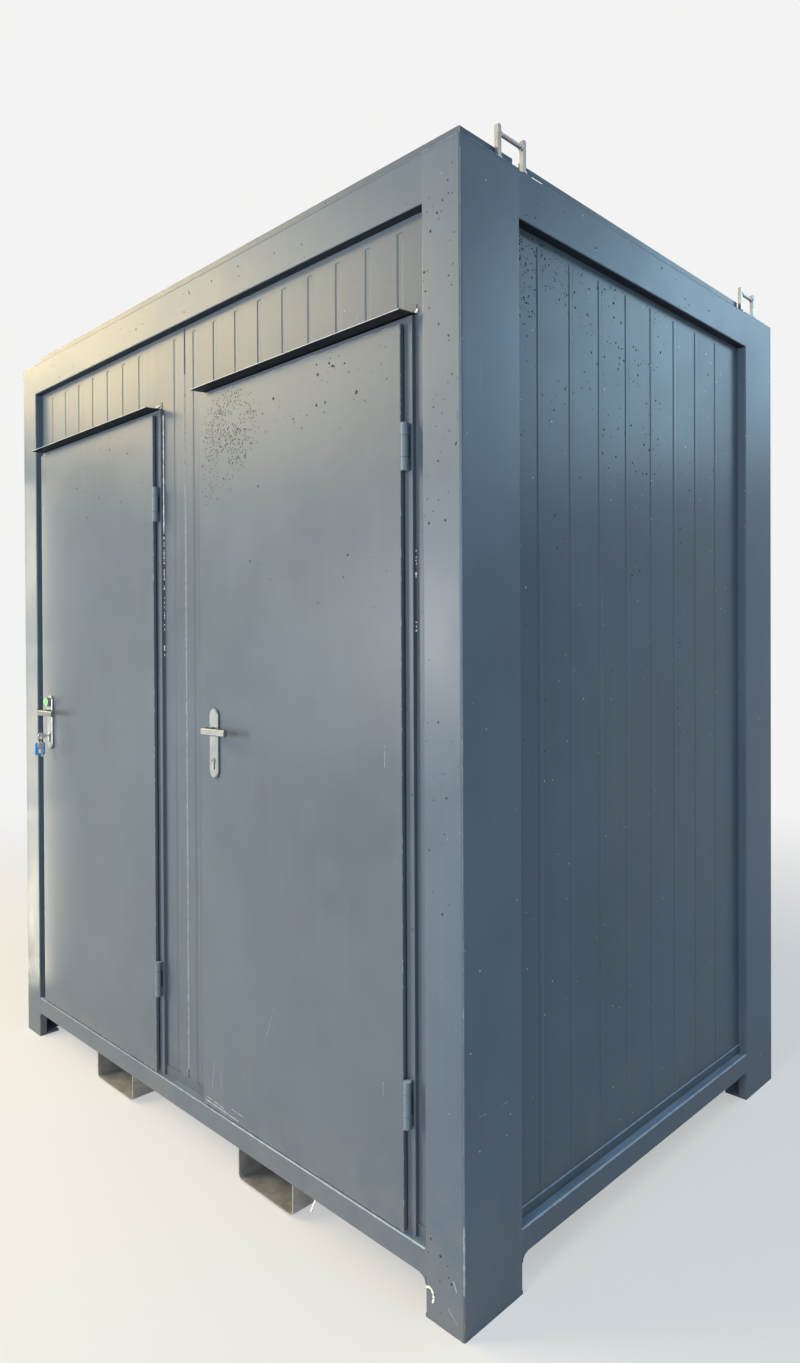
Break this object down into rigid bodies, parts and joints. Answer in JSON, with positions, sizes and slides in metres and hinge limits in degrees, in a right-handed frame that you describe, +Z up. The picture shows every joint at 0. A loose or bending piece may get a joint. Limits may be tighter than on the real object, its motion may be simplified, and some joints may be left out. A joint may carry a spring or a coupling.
{
  "type": "portable site cabin",
  "caption": "Steel-framed site cabin with ribbed insulated walls, hinged rebated doors with lever handles, drip caps, fork pockets and lifting lugs.",
  "frame": {"origin": "on the ground under the middle of the whole cabin, the key tag at the front included", "axes": "+Z up, +X along the door side to the right as seen from outside, the doors face -Y"},
  "size_m": [2.19, 1.6366, 2.572],
  "materials": {
    "frame_paint": "satin slate grey paint on folded steel",
    "panel_paint": "satin slate grey coated sheet over insulation",
    "door_paint": "satin slate grey paint",
    "trim_paint": "satin slate grey coated sheet, lighter on cut edges",
    "galvanised_steel": "hot dip galvanised steel with a faint spangle",
    "floor_covering": "grey vinyl on board",
    "handle_metal": "satin anodised aluminium",
    "lock_brass": "nickel plated brass",
    "indicator_green": "green occupancy window in a plain ring",
    "key_metal": "nickel plated key, steel ring and blue plastic tag"
  },
  "bodies": {
    "cabin": {"back_wall": "panel_paint", "base_trim": "trim_paint", "bottom_rail_back": "frame_paint", "bottom_rail_front": "frame_paint", "bottom_rail_left": "frame_paint", "bottom_rail_right": "frame_paint", "ceiling_panel": "panel_paint", "corner_post_back_left": "frame_paint", "corner_post_back_right": "frame_paint", "corner_post_front_left": "frame_paint", "corner_post_front_right": "frame_paint", "door_drip_caps": "trim_paint", "door_frame_hinges": "door_paint", "floor_deck": "floor_covering", "floor_joists": "galvanised_steel", "foot_plates": "frame_paint", "fork_pocket_left": "galvanised_steel", "fork_pocket_right": "galvanised_steel", "front_wall_left_pier": "panel_paint", "front_wall_middle": "panel_paint", "front_wall_over_left_door": "panel_paint", "front_wall_over_right_door": "panel_paint", "front_wall_right_pier": "panel_paint", "head_plates": "frame_paint", "left_door_frame": "door_paint", "left_wall": "panel_paint", "lifting_lug_crossbars": "galvanised_steel", "lifting_lug_uprights": "galvanised_steel", "right_door_frame": "door_paint", "right_wall": "panel_paint", "roof_edge_trim": "trim_paint", "roof_sheet": "galvanised_steel", "top_rail_back": "frame_paint", "top_rail_front": "frame_paint", "top_rail_left": "frame_paint", "top_rail_right": "frame_paint"},
    "left_door": {"key_with_tag": "key_metal", "left_door_leaf": "door_paint", "left_handle_plates": "handle_metal", "left_leaf_hinges": "door_paint", "left_lock_cylinder": "lock_brass", "occupancy_rosette": "indicator_green"},
    "right_door": {"right_door_leaf": "door_paint", "right_handle_plates": "handle_metal", "right_leaf_hinges": "door_paint", "right_lock_cylinder": "lock_brass"},
    "left_lever": {"left_lever": "handle_metal"},
    "right_lever": {"right_lever": "handle_metal"}
  },
  "joints": [
    {"name": "left_door_hinge", "type": "hinge", "parent": "cabin", "child": "left_door", "pos_m": [-0.1285, -0.75575, 1.153], "axis": [0, 0, 1], "range_deg": [0, 110]},
    {"name": "left_lever_turn", "type": "hinge", "parent": "left_door", "child": "left_lever", "pos_m": [-0.868, -0.73425, 1.217], "axis": [0, 1, 0], "range_deg": [0, 40], "stiffness_Nm_per_rad": 0.8, "springref_deg": -20.05},
    {"name": "right_door_hinge", "type": "hinge", "parent": "cabin", "child": "right_door", "pos_m": [0.9315, -0.75575, 1.153], "axis": [0, 0, 1], "range_deg": [0, 110]},
    {"name": "right_lever_turn", "type": "hinge", "parent": "right_door", "child": "right_lever", "pos_m": [0.192, -0.73425, 1.217], "axis": [0, 1, 0], "range_deg": [0, 40], "stiffness_Nm_per_rad": 0.8, "springref_deg": -20.05}
  ]
}
